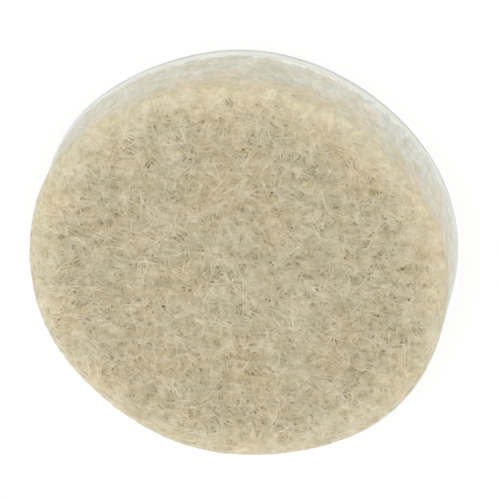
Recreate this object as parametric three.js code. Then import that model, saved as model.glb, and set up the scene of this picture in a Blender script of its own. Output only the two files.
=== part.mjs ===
// Self-adhesive felt pad for the foot of a chair or cabinet: a die-cut disc of needle felt with a layer
// of adhesive on its back, still covered by the paper that is peeled off before the pad is stuck on.
// Units are millimetres, +Z is up. The pad lies on its release liner with the felt facing up.
// The origin is the centre of the liner's underside.
import * as THREE from 'three';
import { ImprovedNoise } from 'three/addons/math/ImprovedNoise.js';

// Driving dimensions
const PAD_DIAMETER = 25;
const FELT_THICKNESS = 4.5;
const ADHESIVE_THICKNESS = 0.35;
const LINER_THICKNESS = 0.15;

// How far the die left the felt's foot inside the edge of the adhesive, and how far the wall bows in
const FELT_SETBACK = 0.12;
const WALL_BOW = 0.09;

// The soft edge round the wearing face
const EDGE_WIDTH = 1.4;
const EDGE_HEIGHT = 0.85;

// Needling leaves the wearing face mottled with shallow hollows, which fade out over the soft edge
const HOLLOW_DEPTH = 0.4;
const HOLLOW_PITCH = 1.35;

// The cut outline wanders from a true circle by up to about 0.15 mm, as it does in soft felt
const OUTLINE_LOBES = [
  { count: 3, height: 0.045, angle: 57 },
  { count: 4, height: 0.035, angle: -27 },
  { count: 5, height: 0.025, angle: 19 },
  { count: 6, height: 0.055, angle: 19 },
  { count: 7, height: 0.02, angle: -4 },
];

// Mesh fineness: the spacing of the rings on the face, and how many facets meet at its centre
const RING_PITCH = 0.45;
const FACETS_AT_CENTRE = 6;
const EDGE_STEPS = 5;
const WALL_STEPS = 7;

const FELT = { color: 0xc8bc9a, roughness: 0.95 };
const ADHESIVE = { color: 0xe4e5dd, roughness: 0.5 };
const LINER = { color: 0xdadbd6, roughness: 0.45 };

const TURN = Math.PI * 2;
const radians = THREE.MathUtils.degToRad;
const mottling = new ImprovedNoise();
const padRadius = PAD_DIAMETER / 2;
const adhesiveBottom = LINER_THICKNESS;
const feltBottom = adhesiveBottom + ADHESIVE_THICKNESS;
const feltTop = feltBottom + FELT_THICKNESS;
const faceInset = FELT_SETBACK + EDGE_WIDTH;
const faceRingCount = Math.round((padRadius - faceInset) / RING_PITCH);
const rimFacets = FACETS_AT_CENTRE * faceRingCount;

// How far the outline stands out of the circle at an angle round the pad
function outlineWander(angle) {
  return OUTLINE_LOBES.reduce(
    (sum, lobe) => sum + lobe.height * Math.cos(lobe.count * (angle - radians(lobe.angle))),
    0,
  );
}

// Radius of the die-cut outline, moved inwards by an inset
function outlineRadius(angle, inset) {
  return padRadius - inset + outlineWander(angle);
}

// Depth of the hollows below the wearing face: next to nothing on the broad ridges between them
function hollowDepth(x, y) {
  const level = 0.5 + 0.5 * mottling.noise(x / HOLLOW_PITCH, y / HOLLOW_PITCH, 0);
  return HOLLOW_DEPTH * (1 - level) ** 2;
}

// One ring of points round the pad, each the given share of the outline's radius from the centre.
// The hollows press the ring down by their depth times fade.
function ring(count, share, inset, z, fade = 0) {
  return Array.from({ length: count }, (_, i) => {
    const angle = (TURN * i) / count;
    const radius = share * outlineRadius(angle, inset);
    const x = radius * Math.cos(angle);
    const y = radius * Math.sin(angle);
    return new THREE.Vector3(x, y, z - fade * hollowDepth(x, y));
  });
}

// Joins two rings with triangles, always stepping along the one that lags, so that the rings may have
// different numbers of points. Either may be a single point, which makes a fan.
function stitch(lower, upper, triangles) {
  const next = (points, i) => (points.length > 1 && i < points.length ? (i + 1) / points.length : Infinity);
  let i = 0;
  let j = 0;
  while (next(lower, i) < Infinity || next(upper, j) < Infinity) {
    const a = lower[i % lower.length];
    const b = upper[j % upper.length];
    if (next(lower, i) <= next(upper, j)) {
      i += 1;
      triangles.push(a, lower[i % lower.length], b);
    } else {
      j += 1;
      triangles.push(a, upper[j % upper.length], b);
    }
  }
}

// A closed skin through a list of rings, from the centre of the underside to the centre of the top
function loft(rings) {
  const triangles = [];
  rings.slice(1).forEach((upper, i) => stitch(rings[i], upper, triangles));
  return new THREE.BufferGeometry().setFromPoints(triangles);
}

// The rings of the felt's die-cut wall, from its foot up to the soft edge. The wall bows in a little at
// mid height, where the die squeezed the felt as it cut.
function wallRings() {
  const wallHeight = FELT_THICKNESS - EDGE_HEIGHT;
  return Array.from({ length: WALL_STEPS + 1 }, (_, step) => {
    const share = step / WALL_STEPS;
    const inset = FELT_SETBACK + WALL_BOW * Math.sin(Math.PI * share);
    return ring(rimFacets, 1, inset, feltBottom + share * wallHeight);
  });
}

// The rings of the soft edge: a quarter of an ellipse between the wall and the face
function edgeRings() {
  return Array.from({ length: EDGE_STEPS }, (_, step) => {
    const share = (step + 1) / EDGE_STEPS;
    const turned = (share * Math.PI) / 2;
    const inset = FELT_SETBACK + EDGE_WIDTH * (1 - Math.cos(turned));
    const z = feltTop - EDGE_HEIGHT * (1 - Math.sin(turned));
    return ring(rimFacets, 1, inset, z, share * share);
  });
}

// The rings of the wearing face inside the soft edge, with fewer points as they shrink to the centre
function faceRings() {
  return Array.from({ length: faceRingCount }, (_, step) => {
    const left = faceRingCount - 1 - step;
    const points = Math.max(1, FACETS_AT_CENTRE * left);
    return ring(points, left / faceRingCount, faceInset, feltTop, 1);
  });
}

function feltDisc() {
  const foot = ring(1, 0, 0, feltBottom);
  return loft([foot, ...wallRings(), ...edgeRings(), ...faceRings()]);
}

// A flat layer with the pad's full outline
function layer(bottom, thickness) {
  const outline = ring(rimFacets, 1, 0, 0).map((point) => new THREE.Vector2(point.x, point.y));
  const shape = new THREE.Shape(outline);
  const geometry = new THREE.ExtrudeGeometry(shape, { depth: thickness, bevelEnabled: false });
  return geometry.translate(0, 0, bottom);
}

function piece(name, geometry, look) {
  geometry.computeVertexNormals();
  const material = new THREE.MeshStandardMaterial({ ...look, metalness: 0 });
  const mesh = new THREE.Mesh(geometry, material);
  mesh.name = name;
  return mesh;
}

const pad = new THREE.Group();
pad.name = 'felt_floor_protector_pad';
pad.add(piece('felt_disc', feltDisc(), FELT));
pad.add(piece('adhesive_layer', layer(adhesiveBottom, ADHESIVE_THICKNESS), ADHESIVE));
pad.add(piece('release_liner', layer(0, LINER_THICKNESS), LINER));

export default pad;
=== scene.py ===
"""Looks of a self-adhesive felt floor protector pad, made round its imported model.

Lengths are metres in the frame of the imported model. Names that end in _MM are millimetres, the unit
in which felt is thought of here: shapes turn them into metres, and materials measure places in them.
The scale of a noise is per millimetre.
"""

import math
import random

import bmesh
import bpy
import numpy as np
from mathutils import Matrix, Vector, noise
from mathutils.bvhtree import BVHTree


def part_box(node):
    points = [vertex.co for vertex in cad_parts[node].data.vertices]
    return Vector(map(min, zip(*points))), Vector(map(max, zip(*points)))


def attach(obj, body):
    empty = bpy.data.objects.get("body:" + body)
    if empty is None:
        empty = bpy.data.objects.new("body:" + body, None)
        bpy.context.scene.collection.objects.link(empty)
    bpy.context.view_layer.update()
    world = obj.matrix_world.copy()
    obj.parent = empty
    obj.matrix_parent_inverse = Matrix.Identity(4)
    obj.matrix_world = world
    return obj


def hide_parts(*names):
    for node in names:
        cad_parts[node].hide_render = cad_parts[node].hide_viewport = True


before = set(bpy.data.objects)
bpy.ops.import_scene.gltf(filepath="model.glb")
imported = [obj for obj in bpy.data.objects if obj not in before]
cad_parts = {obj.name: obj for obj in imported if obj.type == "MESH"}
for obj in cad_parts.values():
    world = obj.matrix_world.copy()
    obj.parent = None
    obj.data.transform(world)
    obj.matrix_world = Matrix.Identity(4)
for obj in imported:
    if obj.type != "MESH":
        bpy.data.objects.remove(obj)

MM = 0.001
SEED = 20
WHITE = (1.0, 1.0, 1.0, 1.0)

# The photograph: its side and where the middle of the felt face lies in it, in pixels, and its scale there
PICTURE_PX = 500
FACE_CENTRE_PX = (235.1, 281.5)
PX_PER_MM = 17.22

# The camera: how far the face is tilted away from it, towards which side of the picture the visible
# wall lies, counted from the picture's right, how far off it stands, how wide its sensor is, and from
# where to where it sees
TILT = math.radians(31.1)
WALL_SIDE = math.radians(71)
CAMERA_DISTANCE = 0.2
SENSOR_MM = 36
CAMERA_CLIPS = (0.01, 10)

# Light: a wide soft lamp nearly above the pad, and an even white surround
LAMP_DIRECTION = (-0.05, 0.18, 1.0)
LAMP_STRENGTH = 0.9
LAMP_SPREAD = math.radians(60)
SURROUND_STRENGTH = 0.86

# The floor: its colour, the share of plain white in what the camera sees of it, the radius of the opening
# under the pad and of the whole floor, how many sides both have, and the floor's level
FLOOR_COLOUR = (0.97, 0.97, 0.97, 1.0)
FLOOR_WHITE_SHARE = 0.75
FLOOR_OPENING_MM = 12.62
FLOOR_REACH = 1.0
FLOOR_SIDES = 96
FLOOR_LEVEL_MM = -0.01

# Felt colours on the screen, 0 to 255, and where one turns into the next: from the face to the rim by the
# distance from the middle, and from the rim to the wall's top, the wall and its foot by the height. The rim,
# the wall's top, the wall and its foot are lighter than the face partly as painted light: a painted
# highlight on the rounded rim, and painted light from the white surround on the wall, which also lifts the
# shade on the wall's upper part and at its foot. A noise moves the height from which the wall's colour
# begins up and down.
FACE_COLOUR = (208, 196, 166)
RIM_COLOUR = (228, 215, 185)
WALL_TOP_COLOUR = (238, 228, 200)
WALL_COLOUR = (241, 238, 223)
FOOT_COLOUR = (249, 249, 243)
FACE_TO_RIM_MM = (9.0, 12.8)
RIM_TO_WALL_TOP_MM = (5.0, 4.4)
RIM_TO_WALL_MM = (4.6, 1.8)
WALL_TO_FOOT_MM = (1.1, 0.5)
RAGGED_SCALE = 0.75
RAGGED_LEVELS = (0.25, 0.75)
RAGGED_MM = (-0.5, 0.5)

# The felt isn't the same all round: its rim is darker towards one side and lighter towards the other, as
# painted shade and painted light, its wall is brighter towards another side as painted light, and at a third
# the rim's colour reaches further down the wall. Each has its side, counted from +X, the distances towards
# that side between which the change comes on, and its strength. The last also has the heights between which
# it comes on.
RIM_SHADE_SIDE = math.radians(45)
RIM_SHADE_SIDE_MM = (-10.0, 10.0)
RIM_LIGHT_AND_SHADE_TINTS = ((1.03, 1.035, 1.04), (0.965, 0.965, 0.965))
WALL_LIT_SIDE = math.radians(10)
WALL_LIT_SIDE_MM = (3.0, 12.0)
WALL_PAINTED_LIGHT_TINT = (1.045, 1.06, 1.085)
RIM_REACH_SIDE = math.radians(83)
RIM_REACH_SIDE_MM = (8.5, 11.5)
RIM_REACH_HEIGHTS_MM = (2.2, 3.6)
RIM_REACH_MM = 0.65

# The felt's uneven colour. Each has the scale and the detail of a noise, the levels between which it turns
# one tint into another, and the two tints. The first three lose a share of their strength off the face,
# and the tints and tones of ground and fibres lose a share of what sets them apart there.
PATCHES = (0.3, 0.5, (0.36, 0.64), (0.98, 1.0, 0.99), (1.02, 0.993, 0.965))
BLOTCHES = (1.1, 1.5, (0.3, 0.7), (0.94, 0.935, 0.9), (1.06, 1.07, 1.11))
FLECKS = (2.6, 1.0, (0.3, 0.7), (0.925, 0.918, 0.905), (1.063, 1.068, 1.085))
SPECKLES = (1.0, 0.5, (0.3, 0.7), (0.984, 1.004, 1.015), (1.016, 0.996, 0.982))
UNEVENNESS_LOST = 0.25
OWN_TINT_LOST = 0.4

# The felt's surface. A grain is a fine bump: the scale and the detail of its noise, its strength, and its
# height in millimetres.
FELT_ROUGHNESS = 0.85
FELT_SPECULAR = 0.25
FELT_SHEEN = 0.15
GROUND_GRAIN = (9.0, 4.0, 0.6, 0.05)

# The felt's ground: its tint, darker than the fibres as painted shade under them, how far it lies below the
# fibres, and the pitch and depth of its fine waves. Between its tufts are pits, which two noises make: their
# weights, how much finer the second is, the levels at which a pit begins and is deepest, and the colour of
# the painted shade in pits with the share that shows of it.
GROUND_SHADE_TINT = (0.96, 0.935, 0.86)
GROUND_DEPTH_MM = 0.056
FINE_PITCH_MM = 0.16
FINE_DEPTH_MM = 0.012
PIT_PITCH_MM = 0.5
PIT_DEPTH_MM = 0.17
PIT_WEIGHTS = (0.6, 0.4)
PIT_FINENESS = 2.7
PIT_LEVELS = (0.06, 0.42)
PIT_SHADE_COLOUR = (166, 147, 106)
PIT_SHADE_COLOUR_SHARE = 0.44

# The felt is calmer on its soft edge and its wall. The edge is found by the distance from the middle, and
# the wall by the upward part of the skin's normal. The shares are what is left of the unevenness there.
CALM_EDGE_MM = (9.8, 12.2)
CALM_EDGE_SHARE = 0.35
CALM_WALL_NORMALS = (0.7, 0.2)
CALM_WALL_SHARE = 0.2

# The felt's mesh: how near to each other joined vertices lie, how often it is subdivided, the limits of the
# foot's sharp rim and of its flat underside, and the height over which the ground's waves and pits come on.
# Heights are counted from the foot.
JOIN_DISTANCE = 1e-6
SUBDIVISIONS = 2
FOOT_RIM_BELOW_MM = 0.01
FOOT_RIM_BEYOND_MM = 1.0
UNDERSIDE_BELOW_MM = 0.02
UNDERSIDE_NORMAL = -0.9
WAVES_COME_ON_MM = 0.15

# Maps, which run from 0 to 1: the middle and radius of the felt's patch, the middle of its foot's patch
# both ways and its scale to the metre, and the margin in the cell of a fibre, as a share of the cell
SKIN_MAP_MIDDLE = 0.5
SKIN_MAP_RADIUS = 0.49
FOOT_MAP_MIDDLE = 0.06
FOOT_MAP_SCALE = 4
CELL_MARGIN = 0.07

# Fibres: a fibre is a thin tube with pointed ends. It narrows by a share towards them, with a power of the
# way from its middle, its shading shows only a little of its roundness, and its tone lies between two.
# Lengths and radii are the least, the greatest and the commonest. Each lot has how many fibres there are,
# their tint, lengths and radii, and how far they lie above the others. Threads are the few long pale ones
# that lie on top. The felt's tint is the one to which the others turn towards the wall's foot.
FIBRE_RINGS = 6
FIBRE_SIDES = 3
FIBRE_TAPER = 0.6
FIBRE_TAPER_POWER = 3
FIBRE_ROUNDNESS = 0.12
FIBRE_TONES = ((0.967, 0.967, 0.96), (1.033, 1.033, 1.04))
FIBRE_LENGTHS_MM = (0.7, 2.8, 1.3)
THREAD_LENGTHS_MM = (1.4, 5.0, 2.2)
FIBRE_RADII_MM = (0.022, 0.043, 0.031)
THREAD_RADII_MM = (0.03, 0.06, 0.042)
FELT_TINT = (0.995, 0.99, 0.965)
FIBRE_LOTS = {
    "felt_fibres_straw": (4900, (1.0, 1.0, 0.97), FIBRE_LENGTHS_MM, FIBRE_RADII_MM, 0.0),
    "felt_fibres_sand": (4900, (0.99, 0.985, 0.955), FIBRE_LENGTHS_MM, FIBRE_RADII_MM, 0.0),
    "felt_fibres_ash": (4700, (0.98, 0.98, 0.96), FIBRE_LENGTHS_MM, FIBRE_RADII_MM, 0.0),
    "felt_fibres_pale": (4200, (1.025, 1.03, 1.04), FIBRE_LENGTHS_MM, FIBRE_RADII_MM, 0.01),
    "felt_threads": (1900, (1.08, 1.09, 1.125), THREAD_LENGTHS_MM, THREAD_RADII_MM, 0.02),
}

# A fibre's way over the skin: the spread of its bend in radians per millimetre, and the angle and length
# of its crimps. Its height: where it lies, how far it swells in its middle, the height and length of its
# weaves, the share of a pit's depth that it follows, and how far its ends dive, with a power of the way
# from its middle. A few stray ones rise at one end. Pairs are the least and the greatest, and triples have
# the commonest as well.
BEND_SPREAD = 0.55
CRIMP_ANGLES = (0.05, 0.45)
CRIMP_LENGTHS_MM = (1.0, 2.4)
FIBRE_HEIGHTS_MM = (-0.045, 0.02, -0.01)
SWELLS_MM = (0.0, 0.04, 0.012)
WEAVE_HEIGHTS_MM = (0.01, 0.03)
WEAVE_LENGTHS_MM = (0.9, 1.9)
PIT_SHARES = (0.4, 0.9)
DIVE_MM = 0.07
DIVE_POWER = 6
STRAY_CHANCE = 0.06
STRAY_HEIGHTS_MM = (0.04, 0.18)

# Heights above the felt's foot: where the skin begins that fibres are laid on, how low a fibre may lie,
# and how far above that it turns upward
SKIN_FROM_MM = 0.05
FIBRE_LOWEST_MM = 0.04
FIBRE_TURNS_UP_MM = 0.25

# Adhesive layer and liner: the screen colours of the flat side, the cut edge and the edge's foot, the
# roughness, the grain with 1 over its pitch as its scale, the width of the eased edges, and how far the rim
# is squeezed in and out. The cut edges and their feet are darker than the flat sides partly as painted
# shade.
ADHESIVE_COLOURS = ((231, 232, 223), (226, 227, 219), (220, 221, 217))
ADHESIVE_ROUGHNESS = 0.4
ADHESIVE_GRAIN = (1 / 0.25, 3.0, 0.5, 0.012)
ADHESIVE_BEVEL_MM = 0.06
ADHESIVE_SQUEEZE_MM = 0.05
LINER_COLOURS = ((222, 222, 217), (206, 207, 203), (206, 207, 203))
LINER_ROUGHNESS = 0.45
LINER_GRAIN = (1 / 0.12, 3.0, 0.5, 0.004)
LINER_BEVEL_MM = 0.02
LINER_SQUEEZE_MM = 0.01

# What both layers share: the noises of their faint cloud and of their gloss, the upward part of the
# normal at which the cut edge begins, the heights between which it turns into its foot, the angles up to
# which faces are merged and beyond which edges are eased, the form of the easing, and the squeeze's pitch
CLOUD_SCALE = 0.8
CLOUD_SHADE = 0.95
GLOSS_SCALE = 2.5
GLOSS_SPREAD = 0.06
LAYER_LEVELS = (0.3, 0.7)
CUT_EDGE_NORMALS = (0.9, 0.4)
CUT_EDGE_TO_FOOT_MM = (0.34, 0.16)
FLAT_ANGLE = math.radians(1)
SHARP_ANGLE = math.radians(60)
BEVEL_SEGMENTS = 3
BEVEL_PROFILE = 0.5
SQUEEZE_PITCH_MM = 1.6


def linear(red, green, blue):
    """A colour of the screen, 0 to 255, as the linear RGBA of a shader, by the sRGB curve."""
    def channel(value):
        share = value / 255
        return share / 12.92 if share <= 0.04045 else ((share + 0.055) / 1.055) ** 2.4

    return (channel(red), channel(green), channel(blue), 1.0)


def opaque(tint):
    """A tint as the RGBA of a shader."""
    return (*tint, 1.0)


def smooth_share(value, start, end):
    """0 at start, 1 at end, and eased between."""
    share = min(1.0, max(0.0, (value - start) / (end - start)))
    return share * share * (3 - 2 * share)


# Camera and lamp

def add_camera(face_centre):
    """A camera that sees the middle of the felt face where the photograph does, at the same scale."""
    turned = Matrix.Rotation(TILT, 4, Vector((-math.sin(WALL_SIDE), math.cos(WALL_SIDE), 0)))
    right, up, back = (turned.to_3x3().col[i] for i in range(3))
    aside = (PICTURE_PX / 2 - FACE_CENTRE_PX[0]) / PX_PER_MM * MM
    above = (FACE_CENTRE_PX[1] - PICTURE_PX / 2) / PX_PER_MM * MM
    data = bpy.data.cameras.new("camera")
    data.sensor_width = SENSOR_MM
    data.lens = PX_PER_MM / MM * CAMERA_DISTANCE * SENSOR_MM / PICTURE_PX
    data.clip_start, data.clip_end = CAMERA_CLIPS
    camera = bpy.data.objects.new("camera", data)
    place = face_centre + back * CAMERA_DISTANCE + right * aside + up * above
    camera.matrix_world = Matrix.Translation(place) @ turned
    bpy.context.scene.collection.objects.link(camera)
    bpy.context.scene.camera = camera


def add_lamp():
    data = bpy.data.lights.new("lamp", "SUN")
    data.energy = LAMP_STRENGTH
    data.angle = LAMP_SPREAD
    lamp = bpy.data.objects.new("lamp", data)
    lamp.rotation_euler = Vector(LAMP_DIRECTION).to_track_quat("Z", "Y").to_euler()
    bpy.context.scene.collection.objects.link(lamp)


# Shader nodes

def add_node(tree, kind, inputs=None, **settings):
    """A shader node with its settings, and its inputs linked or set."""
    made = tree.nodes.new(kind)
    for key, value in settings.items():
        setattr(made, key, value)
    for key, value in (inputs or {}).items():
        if isinstance(value, bpy.types.NodeSocket):
            tree.links.new(value, made.inputs[key])
        else:
            made.inputs[key].default_value = value
    return made


def maths(tree, operation, a, b):
    return add_node(tree, "ShaderNodeMath", {0: a, 1: b}, operation=operation).outputs[0]


def mixed(tree, factor, a, b, blend="MIX"):
    """The colour output of a colour mix."""
    mix = add_node(tree, "ShaderNodeMix", {0: factor, 6: a, 7: b}, data_type="RGBA", blend_type=blend)
    return mix.outputs[2]


def ranged(tree, value, low, high, to_low=0.0, to_high=1.0, easing="SMOOTHSTEP"):
    """A value brought from low..high to another range."""
    sockets = {"Value": value, "From Min": low, "From Max": high, "To Min": to_low, "To Max": to_high}
    return add_node(tree, "ShaderNodeMapRange", sockets, interpolation_type=easing).outputs[0]


def noisy(tree, place, scale, detail=2.0):
    sockets = {"Vector": place, "Scale": scale, "Detail": detail}
    return add_node(tree, "ShaderNodeTexNoise", sockets).outputs[0]


def place_in_mm(tree):
    """The place on the piece, in millimetres from the frame's origin."""
    place = add_node(tree, "ShaderNodeTexCoord").outputs["Object"]
    scaled = add_node(tree, "ShaderNodeVectorMath", {0: place, "Scale": 1 / MM}, operation="SCALE")
    return scaled.outputs[0]


def upward_part(tree, vector):
    """The height of a place, or the upward part of a direction."""
    return add_node(tree, "ShaderNodeSeparateXYZ", {0: vector}).outputs["Z"]


def distance_out(tree, place):
    """How far a place lies from the pad's upright axis."""
    flat = add_node(tree, "ShaderNodeVectorMath", {0: place, 1: (1, 1, 0)}, operation="MULTIPLY")
    length = add_node(tree, "ShaderNodeVectorMath", {0: flat.outputs[0]}, operation="LENGTH")
    return length.outputs["Value"]


def distance_towards(tree, place, side):
    """How far a place lies towards a side, which is an angle from +X."""
    heading = (math.cos(side), math.sin(side), 0)
    product = add_node(tree, "ShaderNodeVectorMath", {0: place, 1: heading}, operation="DOT_PRODUCT")
    return product.outputs["Value"]


def stored_value(tree, name):
    """The number that set_values stored for each vertex under this name."""
    return add_node(tree, "ShaderNodeAttribute", attribute_name=name).outputs["Fac"]


def varied(tree, place, share, colour, variation):
    """A colour that a noise shifts between two tints, as far as the share says."""
    scale, detail, levels, one_tint, other_tint = variation
    shift = ranged(tree, noisy(tree, place, scale, detail), *levels)
    tint = mixed(tree, shift, opaque(one_tint), opaque(other_tint))
    return mixed(tree, share, colour, tint, "MULTIPLY")


def material_tree(name):
    """A new material with its tree and its Principled shader."""
    material = bpy.data.materials.new(name)
    material.use_nodes = True
    return material, material.node_tree, material.node_tree.nodes["Principled BSDF"]


def add_grain(tree, shader, place, grain):
    """A fine bump in the surface."""
    scale, detail, strength, height_mm = grain
    sockets = {"Strength": strength, "Distance": height_mm * MM, "Height": noisy(tree, place, scale, detail)}
    bump = add_node(tree, "ShaderNodeBump", sockets)
    tree.links.new(bump.outputs[0], shader.inputs["Normal"])


# Surround and floor

def seen_directly(tree):
    """1 for rays that come from the camera or its mirror and glass images, else 0."""
    path = add_node(tree, "ShaderNodeLightPath")
    seen = path.outputs["Is Camera Ray"]
    for name in ("Is Glossy Ray", "Is Transmission Ray"):
        seen = maths(tree, "MAXIMUM", seen, path.outputs[name])
    return seen


def add_surround():
    """An even white surround that lights the pad with one strength and is seen with strength 1."""
    world = bpy.data.worlds.new("surround")
    world.use_nodes = True
    tree = world.node_tree
    tree.nodes.clear()
    light = add_node(tree, "ShaderNodeBackground", {"Color": WHITE, "Strength": SURROUND_STRENGTH})
    white = add_node(tree, "ShaderNodeBackground", {"Color": WHITE, "Strength": 1.0})
    sockets = {0: seen_directly(tree), 1: light.outputs[0], 2: white.outputs[0]}
    both = add_node(tree, "ShaderNodeMixShader", sockets)
    add_node(tree, "ShaderNodeOutputWorld", {"Surface": both.outputs[0]})
    bpy.context.scene.world = world


def add_floor():
    """A white floor. Most of what the camera sees of it is plain white, and the rest keeps the shadow. It
    has an opening that reaches just beyond the pad, and is clear from below, so that the pad's underside
    can be looked at too."""
    turns = [math.tau * i / FLOOR_SIDES for i in range(FLOOR_SIDES)]
    radii = (FLOOR_OPENING_MM * MM, FLOOR_REACH)
    level = FLOOR_LEVEL_MM * MM
    corners = [(r * math.cos(t), r * math.sin(t), level) for r in radii for t in turns]
    beside = [(i + 1) % FLOOR_SIDES for i in range(FLOOR_SIDES)]
    faces = [(i, FLOOR_SIDES + i, FLOOR_SIDES + j, j) for i, j in enumerate(beside)]
    mesh = bpy.data.meshes.new("floor")
    mesh.from_pydata(corners, [], faces)
    floor = bpy.data.objects.new("floor", mesh)
    bpy.context.scene.collection.objects.link(floor)
    material = material_tree("floor")[0]
    tree = material.node_tree
    tree.nodes.clear()
    diffuse = add_node(tree, "ShaderNodeBsdfDiffuse", {"Color": FLOOR_COLOUR})
    white = add_node(tree, "ShaderNodeEmission", {"Color": WHITE, "Strength": 1.0})
    share = maths(tree, "MULTIPLY", seen_directly(tree), FLOOR_WHITE_SHARE)
    above = add_node(tree, "ShaderNodeMixShader", {0: share, 1: diffuse.outputs[0], 2: white.outputs[0]})
    below = add_node(tree, "ShaderNodeBsdfTransparent")
    is_below = add_node(tree, "ShaderNodeNewGeometry").outputs["Backfacing"]
    both = add_node(tree, "ShaderNodeMixShader", {0: is_below, 1: above.outputs[0], 2: below.outputs[0]})
    add_node(tree, "ShaderNodeOutputMaterial", {"Surface": both.outputs[0]})
    mesh.materials.append(material)


# The felt's material

def felt_zones(tree, place):
    """The felt's colour from the middle of its face to the foot of its wall, lighter off the face partly as
    painted light, and lighter or darker towards some sides as painted light and shade, and two shares: how
    far a place is off the face, on the rim or the wall, and how far it is down at the foot."""
    height = upward_part(tree, place)
    to_rim = ranged(tree, distance_out(tree, place), *FACE_TO_RIM_MM)
    # painted light and shade: the rim is darker towards one side and lighter towards the other
    bright, shaded_rim_tint = (opaque(tint) for tint in RIM_LIGHT_AND_SHADE_TINTS)
    to_shaded_rim_tint = ranged(tree, distance_towards(tree, place, RIM_SHADE_SIDE), *RIM_SHADE_SIDE_MM)
    rim = mixed(tree, 1.0, linear(*RIM_COLOUR), mixed(tree, to_shaded_rim_tint, bright, shaded_rim_tint), "MULTIPLY")
    # painted light: the rim, the wall's top, the wall and its foot are lighter than the face partly because
    # of how light falls
    colour = mixed(tree, to_rim, linear(*FACE_COLOUR), rim)
    colour = mixed(tree, ranged(tree, height, *RIM_TO_WALL_TOP_MM), colour, linear(*WALL_TOP_COLOUR))

    ragged = ranged(tree, noisy(tree, place, RAGGED_SCALE), *RAGGED_LEVELS, *RAGGED_MM)
    towards = distance_towards(tree, place, RIM_REACH_SIDE)
    reach = ranged(tree, towards, *RIM_REACH_SIDE_MM, 0.0, RIM_REACH_MM)
    reach = maths(tree, "MULTIPLY", reach, ranged(tree, height, *RIM_REACH_HEIGHTS_MM))
    raised = maths(tree, "ADD", maths(tree, "ADD", height, ragged), reach)
    to_wall = ranged(tree, raised, *RIM_TO_WALL_MM, easing="LINEAR")
    colour = mixed(tree, to_wall, colour, linear(*WALL_COLOUR))
    to_foot = ranged(tree, height, *WALL_TO_FOOT_MM)
    colour = mixed(tree, to_foot, colour, linear(*FOOT_COLOUR))

    # painted light: the wall is brighter towards one side, as if lit from there
    to_lit_side = ranged(tree, distance_towards(tree, place, WALL_LIT_SIDE), *WALL_LIT_SIDE_MM)
    painted_light_on_wall = maths(tree, "MULTIPLY", to_wall, to_lit_side)
    colour = mixed(tree, painted_light_on_wall, colour, opaque(WALL_PAINTED_LIGHT_TINT), "MULTIPLY")
    return colour, maths(tree, "MAXIMUM", to_rim, to_wall), to_foot


def felt_material(name, tint, is_fibre):
    """Felt that shifts between a greenish and a pinkish straw, brighter on the soft edge and paler and
    greyer down the die-cut wall, partly as painted light, and darker in its pits and on its ground as
    painted shade. Each fibre has a tone of its own, and the ground has a grain."""
    material, tree, shader = material_tree(name)
    place = place_in_mm(tree)
    colour, off_face, to_foot = felt_zones(tree, place)
    on_face = maths(tree, "SUBTRACT", 1.0, maths(tree, "MULTIPLY", off_face, UNEVENNESS_LOST))
    evenness = maths(tree, "MAXIMUM", maths(tree, "MULTIPLY", off_face, OWN_TINT_LOST), to_foot)
    colour = varied(tree, place, on_face, colour, PATCHES)
    # painted shade: the pits are darkened by their depth
    pit_shade = maths(tree, "MULTIPLY", stored_value(tree, "pit"), PIT_SHADE_COLOUR_SHARE)
    colour = mixed(tree, pit_shade, colour, linear(*PIT_SHADE_COLOUR))
    own_tint = mixed(tree, evenness, opaque(tint), opaque(FELT_TINT))
    colour = mixed(tree, 1.0, colour, own_tint, "MULTIPLY")
    colour = varied(tree, place, on_face, colour, BLOTCHES)
    colour = varied(tree, place, on_face, colour, FLECKS)
    colour = varied(tree, place, 1.0, colour, SPECKLES)
    if is_fibre:
        dark, bright = (opaque(tone) for tone in FIBRE_TONES)
        shade = mixed(tree, stored_value(tree, "tone"), dark, bright)
        shade = mixed(tree, evenness, shade, WHITE)
        colour = mixed(tree, 1.0, colour, shade, "MULTIPLY")
    else:
        add_grain(tree, shader, place, GROUND_GRAIN)
    tree.links.new(colour, shader.inputs["Base Color"])
    shader.inputs["Roughness"].default_value = FELT_ROUGHNESS
    shader.inputs["Specular IOR Level"].default_value = FELT_SPECULAR
    shader.inputs["Sheen Weight"].default_value = FELT_SHEEN
    return material


# Meshes and pieces

def joined_copy(node):
    """The node's mesh with the vertices that its flat faces don't share joined again."""
    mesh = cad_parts[node].data.copy()
    work = bmesh.new()
    work.from_mesh(mesh)
    bmesh.ops.remove_doubles(work, verts=work.verts, dist=JOIN_DISTANCE)
    work.to_mesh(mesh)
    work.free()
    return mesh


def add_piece(name, mesh, material):
    """A visible piece of one material, shaded smooth."""
    piece = bpy.data.objects.new(name, mesh)
    bpy.context.scene.collection.objects.link(piece)
    mesh.materials.clear()
    mesh.materials.append(material)
    mesh.polygons.foreach_set("use_smooth", [True] * len(mesh.polygons))
    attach(piece, "root")
    return piece


def set_values(mesh, name, values):
    """Stores one number for each vertex, for the material to read."""
    mesh.attributes.new(name, "FLOAT", "POINT").data.foreach_set("value", values)


# The felt's ground

def unevenness(place, normal):
    """How much of the felt's unevenness there is at a place: 1 on the face, less on its edge and wall."""
    on_edge = smooth_share(place.xy.length, *(limit * MM for limit in CALM_EDGE_MM))
    on_wall = smooth_share(normal.z, *CALM_WALL_NORMALS)
    return 1 + (CALM_EDGE_SHARE - 1) * on_edge + (CALM_WALL_SHARE - CALM_EDGE_SHARE) * on_wall


def pit_depth(place):
    """How deep a place lies in the pits between the tufts: 0 outside them, 1 at their bottom."""
    spot = place / (PIT_PITCH_MM * MM)
    wide, fine = PIT_WEIGHTS
    return smooth_share(wide * noise.noise(spot) + fine * noise.noise(spot * PIT_FINENESS), *PIT_LEVELS)


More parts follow.
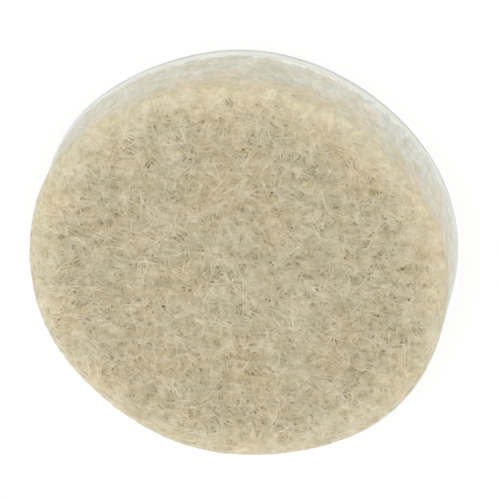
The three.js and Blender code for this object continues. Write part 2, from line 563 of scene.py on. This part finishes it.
def finer_felt(foot):
    """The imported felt's mesh subdivided, with the sharp rim of its foot kept."""
    mesh = joined_copy("felt_disc")
    rough = bpy.data.objects.new("rough", mesh)
    bpy.context.scene.collection.objects.link(rough)
    crease = mesh.attributes.new("crease_edge", "FLOAT", "EDGE")
    for edge in mesh.edges:
        ends = [mesh.vertices[v].co for v in edge.vertices]
        at_foot = all(abs(end.z - foot) < FOOT_RIM_BELOW_MM * MM for end in ends)
        far_out = all(end.xy.length > FOOT_RIM_BEYOND_MM * MM for end in ends)
        crease.data[edge.index].value = float(at_foot and far_out)
    finer = rough.modifiers.new("finer", "SUBSURF")
    finer.levels = SUBDIVISIONS
    finer.render_levels = SUBDIVISIONS
    evaluated = rough.evaluated_get(bpy.context.evaluated_depsgraph_get())
    fine = bpy.data.meshes.new_from_object(evaluated)
    bpy.data.objects.remove(rough)
    bpy.data.meshes.remove(mesh)
    return fine


def is_underside(face, foot):
    """Whether a face belongs to the felt's flat foot. Those faces are shaded flat, and so the wall isn't
    shaded round into them."""
    return face.normal.z < UNDERSIDE_NORMAL and face.center.z < foot + UNDERSIDE_BELOW_MM * MM


def unroll(mesh, top, foot):
    """A map of the disc's skin: its face and wall as one round patch, and its hidden foot in a corner."""
    reach = max(v.co.xy.length for v in mesh.vertices) + top - foot
    layer = mesh.uv_layers.new(name="OFBake")
    for face in mesh.polygons:
        below = is_underside(face, foot)
        for corner in face.loop_indices:
            place = mesh.vertices[mesh.loops[corner].vertex_index].co
            if below:
                middle = FOOT_MAP_MIDDLE
                on_map = FOOT_MAP_SCALE * place.xy
            else:
                middle = SKIN_MAP_MIDDLE
                out = place.xy.length + top - place.z
                on_map = place.xy.normalized() * (SKIN_MAP_RADIUS * out / reach)
            layer.data[corner].uv = (middle + on_map.x, middle + on_map.y)


def felt_ground():
    """The felt under its surface fibres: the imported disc, subdivided and pressed into pits."""
    low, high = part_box("felt_disc")
    fine = finer_felt(low.z)
    unroll(fine, high.z, low.z)
    places = np.array([v.co for v in fine.vertices])
    normals = np.array([n.vector for n in fine.vertex_normals])
    calm = np.array([unevenness(v.co, n.vector) for v, n in zip(fine.vertices, fine.vertex_normals)])
    pits = calm * np.array([pit_depth(v.co) for v in fine.vertices])
    waves = np.array([noise.noise(v.co / (FINE_PITCH_MM * MM)) for v in fine.vertices])
    above_foot = np.clip((places[:, 2] - low.z) / (WAVES_COME_ON_MM * MM), 0, 1)
    below_fibres = GROUND_DEPTH_MM * (1 + calm) / 2
    depth = (below_fibres + PIT_DEPTH_MM * pits + FINE_DEPTH_MM * waves) * MM * above_foot
    fine.vertices.foreach_set("co", (places - normals * depth[:, None]).ravel())
    set_values(fine, "pit", pits)
    # the ground's tint is painted shade under the fibres
    ground = add_piece("felt_ground", fine, felt_material("felt_ground", GROUND_SHADE_TINT, False))
    for face in fine.polygons:
        face.use_smooth = not is_underside(face, low.z)
    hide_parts("felt_disc")


# The felt's fibres

class FeltSkin:
    """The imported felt's outer skin without its hidden foot, on which fibres are laid."""

    def __init__(self):
        mesh = joined_copy("felt_disc")
        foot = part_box("felt_disc")[0].z
        self.lowest = foot + FIBRE_LOWEST_MM * MM
        shown = [p for p in mesh.polygons if p.center.z > foot + SKIN_FROM_MM * MM]
        self.tree = BVHTree.FromPolygons([v.co for v in mesh.vertices], [p.vertices for p in shown])
        self.corners = [[mesh.vertices[v].co.copy() for v in p.vertices] for p in shown]
        self.sums = np.cumsum([p.area for p in shown])
        bpy.data.meshes.remove(mesh)

    def random_spot(self, chance):
        """A spot on the skin. Equal areas are equally likely."""
        found = int(np.searchsorted(self.sums, chance.random() * self.sums[-1]))
        a, b, c = self.corners[min(found, len(self.corners) - 1)]
        s, t = sorted((chance.random(), chance.random()))
        return a * s + b * (t - s) + c * (1 - t)

    def nearest(self, place):
        """The spot of the skin that is nearest to a place, and the skin's normal there."""
        spot, normal, _, _ = self.tree.find_nearest(place)
        return spot, normal


def lay_fibre(skin, chance, lengths_mm, rise_mm):
    """The middle line of one fibre that wanders over the skin: its points, the skin's normals there and
    how deep each lies in a pit."""
    steps = FIBRE_RINGS + 1
    length = chance.triangular(*lengths_mm) * MM
    bend = chance.gauss(0, BEND_SPREAD) / MM
    crimp = chance.uniform(*CRIMP_ANGLES)
    crimp_length = chance.uniform(*CRIMP_LENGTHS_MM) * MM
    phase = chance.uniform(0, math.tau)
    base = chance.triangular(*FIBRE_HEIGHTS_MM) * MM
    swell = chance.triangular(*SWELLS_MM) * MM
    weave = chance.uniform(*WEAVE_HEIGHTS_MM) * MM
    weave_length = chance.uniform(*WEAVE_LENGTHS_MM) * MM
    weave_phase = chance.uniform(0, math.tau)
    pit_share = chance.uniform(*PIT_SHARES)
    stray = chance.uniform(*STRAY_HEIGHTS_MM) * MM if chance.random() < STRAY_CHANCE else 0.0
    spot, normal = skin.nearest(skin.random_spot(chance))
    heading = Vector((chance.gauss(0, 1), chance.gauss(0, 1), chance.gauss(0, 1)))
    points, normals, pits = [], [], []
    turned = 0.0
    for step in range(steps + 1):
        along = step / steps
        calm = unevenness(spot, normal)
        pit = calm * pit_depth(spot)
        dive = DIVE_MM * MM * (2 * along - 1) ** DIVE_POWER
        weaving = weave * math.sin(math.tau * along * length / weave_length + weave_phase)
        height = calm * (base + rise_mm * MM + swell * math.sin(math.pi * along) + weaving)
        height -= dive + pit_share * PIT_DEPTH_MM * MM * pit
        place = spot + normal * (height + calm * stray * along * along)
        place.z = max(place.z, skin.lowest)
        points.append(place)
        normals.append(normal)
        pits.append(pit)
        wave = crimp * math.sin(math.tau * along * length / crimp_length + phase)
        target = bend * along * length + wave
        if place.z < skin.lowest + FIBRE_TURNS_UP_MM * MM:
            heading.z = abs(heading.z)
        heading = (heading - normal * heading.dot(normal)).normalized()
        heading.rotate(Matrix.Rotation(target - turned, 3, normal))
        turned = target
        spot, normal = skin.nearest(spot + heading * (length / steps))
    return points, normals, pits


def tube_points(lines, normals, radii):
    """The vertices of thin tubes along many lines, and their normals: for each line its start, its rings
    and its end. The normals lean to the skin's, because light goes through a fibre and softens it."""
    forward = np.gradient(lines, axis=1)
    forward /= np.linalg.norm(forward, axis=2, keepdims=True)
    across = np.cross(forward, normals)
    across /= np.linalg.norm(across, axis=2, keepdims=True)
    upward = np.cross(across, forward)
    angles = math.tau * np.arange(FIBRE_SIDES) / FIBRE_SIDES
    up_share, across_share = np.cos(angles)[:, None], np.sin(angles)[:, None]
    turned = up_share * upward[:, :, None, :] + across_share * across[:, :, None, :]
    rings = (lines[:, :, None, :] + turned * radii[:, :, None, None])[:, 1:-1]
    leaning = (1 - FIBRE_ROUNDNESS) * normals[:, :, None, :] + FIBRE_ROUNDNESS * turned
    leaning = (leaning / np.linalg.norm(leaning, axis=3, keepdims=True))[:, 1:-1]
    count = len(lines)
    points = np.concatenate([lines[:, :1], rings.reshape(count, -1, 3), lines[:, -1:]], axis=1)
    facing = np.concatenate([normals[:, :1], leaning.reshape(count, -1, 3), normals[:, -1:]], axis=1)
    return points, facing


def tube_faces():
    """The faces of one tube with pointed ends and the places of their corners on its own small map, with
    x along the tube and y round it."""
    last = 1 + FIBRE_RINGS * FIBRE_SIDES
    wide = FIBRE_RINGS + 1
    faces, map_places = [], []
    for side in range(FIBRE_SIDES):
        beside = (side + 1) % FIBRE_SIDES
        low, high = side / FIBRE_SIDES, (side + 1) / FIBRE_SIDES
        middle = (low + high) / 2
        faces.append((0, 1 + beside, 1 + side))
        map_places.append(((0, middle), (1 / wide, high), (1 / wide, low)))
        for ring in range(FIBRE_RINGS - 1):
            here = 1 + ring * FIBRE_SIDES
            there = here + FIBRE_SIDES
            left, right = (ring + 1) / wide, (ring + 2) / wide
            faces.append((here + side, here + beside, there + beside, there + side))
            map_places.append(((left, low), (left, high), (right, high), (right, low)))
        faces.append((last, last - FIBRE_SIDES + side, last - FIBRE_SIDES + beside))
        map_places.append(((1, middle), (FIBRE_RINGS / wide, low), (FIBRE_RINGS / wide, high)))
    return faces, map_places


def tube_mesh(name, points):
    """One mesh of many tubes. On its map each tube has a cell of its own."""
    count, per_tube, _ = points.shape
    pattern, pattern_map = tube_faces()
    faces = [tuple(v + tube * per_tube for v in face) for tube in range(count) for face in pattern]
    mesh = bpy.data.meshes.new(name)
    mesh.from_pydata(points.reshape(-1, 3), [], faces)
    cells = math.ceil(math.sqrt(count))
    own = np.array([place for face in pattern_map for place in face])
    own = own * (1 - 2 * CELL_MARGIN) + CELL_MARGIN
    corner = np.stack([np.arange(count) % cells, np.arange(count) // cells], axis=1)
    on_map = (own[None] + corner[:, None]) / cells
    mesh.uv_layers.new(name="OFBake").data.foreach_set("uv", on_map.ravel())
    return mesh


def felt_fibres(skin):
    """The lots of fibres. All of them are laid at random from one seed."""
    chance = random.Random(SEED)
    from_middle = np.abs(np.linspace(-1, 1, FIBRE_RINGS + 2))
    taper = 1 - FIBRE_TAPER * from_middle ** FIBRE_TAPER_POWER
    repeats = [1] + [FIBRE_SIDES] * FIBRE_RINGS + [1]
    for name, (count, tint, lengths_mm, radii_mm, rise_mm) in FIBRE_LOTS.items():
        laid = [lay_fibre(skin, chance, lengths_mm, rise_mm) for _ in range(count)]
        lines = np.array([[tuple(p) for p in points] for points, _, _ in laid])
        normals = np.array([[tuple(n) for n in found] for _, found, _ in laid])
        thickness = np.array([chance.triangular(*radii_mm) for _ in laid]) * MM
        points, facing = tube_points(lines, normals, thickness[:, None] * taper)
        mesh = tube_mesh(name, points)
        set_values(mesh, "pit", np.concatenate([np.repeat(found, repeats) for _, _, found in laid]))
        set_values(mesh, "tone", np.repeat([chance.random() for _ in laid], sum(repeats)))
        add_piece(name, mesh, felt_material(name, tint, True))
        mesh.normals_split_custom_set_from_vertices(facing.reshape(-1, 3))


# Adhesive layer and release liner

def layer_material(name, colours, roughness, grain):
    """A smooth pale sheet with a faint cloud in its colour and gloss, a fine grain in its surface and a cut
    edge of its own colour, which turns into another at the edge's foot. The darker edge and foot are partly
    painted shade."""
    material, tree, shader = material_tree(name)
    place = place_in_mm(tree)
    flat_side, cut_edge, shaded_edge_foot = (linear(*colour) for colour in colours)
    cloud = ranged(tree, noisy(tree, place, CLOUD_SCALE), *LAYER_LEVELS)
    shaded = linear(*(CLOUD_SHADE * value for value in colours[0]))
    clouded = mixed(tree, cloud, shaded, flat_side)
    normal = add_node(tree, "ShaderNodeNewGeometry").outputs["True Normal"]
    upright = maths(tree, "ABSOLUTE", upward_part(tree, normal), 0.0)
    on_edge = ranged(tree, upright, *CUT_EDGE_NORMALS)
    to_foot = ranged(tree, upward_part(tree, place), *CUT_EDGE_TO_FOOT_MM)
    # painted shade: the cut edge and its foot are darker, partly because of how light falls there
    edge = mixed(tree, to_foot, cut_edge, shaded_edge_foot)
    tree.links.new(mixed(tree, on_edge, clouded, edge), shader.inputs["Base Color"])
    limits = (roughness - GLOSS_SPREAD, roughness + GLOSS_SPREAD)
    gloss = ranged(tree, noisy(tree, place, GLOSS_SCALE), *LAYER_LEVELS, *limits)
    tree.links.new(gloss, shader.inputs["Roughness"])
    add_grain(tree, shader, place, grain)
    return material


def eased_layer(node, bevel_mm, squeeze_mm):
    """A packed layer with its edges eased and its rim squeezed in and out a little."""
    mesh = joined_copy(node)
    work = bmesh.new()
    work.from_mesh(mesh)
    bmesh.ops.dissolve_limit(work, angle_limit=FLAT_ANGLE, verts=work.verts, edges=work.edges)
    sharp = [e for e in work.edges if len(e.link_faces) == 2 and e.calc_face_angle() > SHARP_ANGLE]
    rounding = {"segments": BEVEL_SEGMENTS, "profile": BEVEL_PROFILE, "affect": "EDGES"}
    bmesh.ops.bevel(work, geom=sharp, offset=bevel_mm * MM, **rounding)
    for vertex in work.verts:
        out = Vector((vertex.co.x, vertex.co.y, 0)).normalized()
        vertex.co += out * (squeeze_mm * MM * noise.noise(vertex.co / (SQUEEZE_PITCH_MM * MM)))
    work.to_mesh(mesh)
    work.free()
    return mesh


def sheet_layers():
    """The adhesive layer and the release liner under it."""
    adhesive = layer_material("adhesive_film", ADHESIVE_COLOURS, ADHESIVE_ROUGHNESS, ADHESIVE_GRAIN)
    mesh = eased_layer("adhesive_layer", ADHESIVE_BEVEL_MM, ADHESIVE_SQUEEZE_MM)
    piece = add_piece("adhesive_film", mesh, adhesive)
    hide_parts("adhesive_layer")
    liner = layer_material("liner_paper", LINER_COLOURS, LINER_ROUGHNESS, LINER_GRAIN)
    mesh = eased_layer("release_liner", LINER_BEVEL_MM, LINER_SQUEEZE_MM)
    piece = add_piece("liner_paper", mesh, liner)
    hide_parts("release_liner")


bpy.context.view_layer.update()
add_camera(Vector((0, 0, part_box("felt_disc")[1].z)))
add_lamp()
add_surround()
add_floor()
bpy.context.scene.view_settings.view_transform = "Standard"

felt_ground()
felt_fibres(FeltSkin())
sheet_layers()
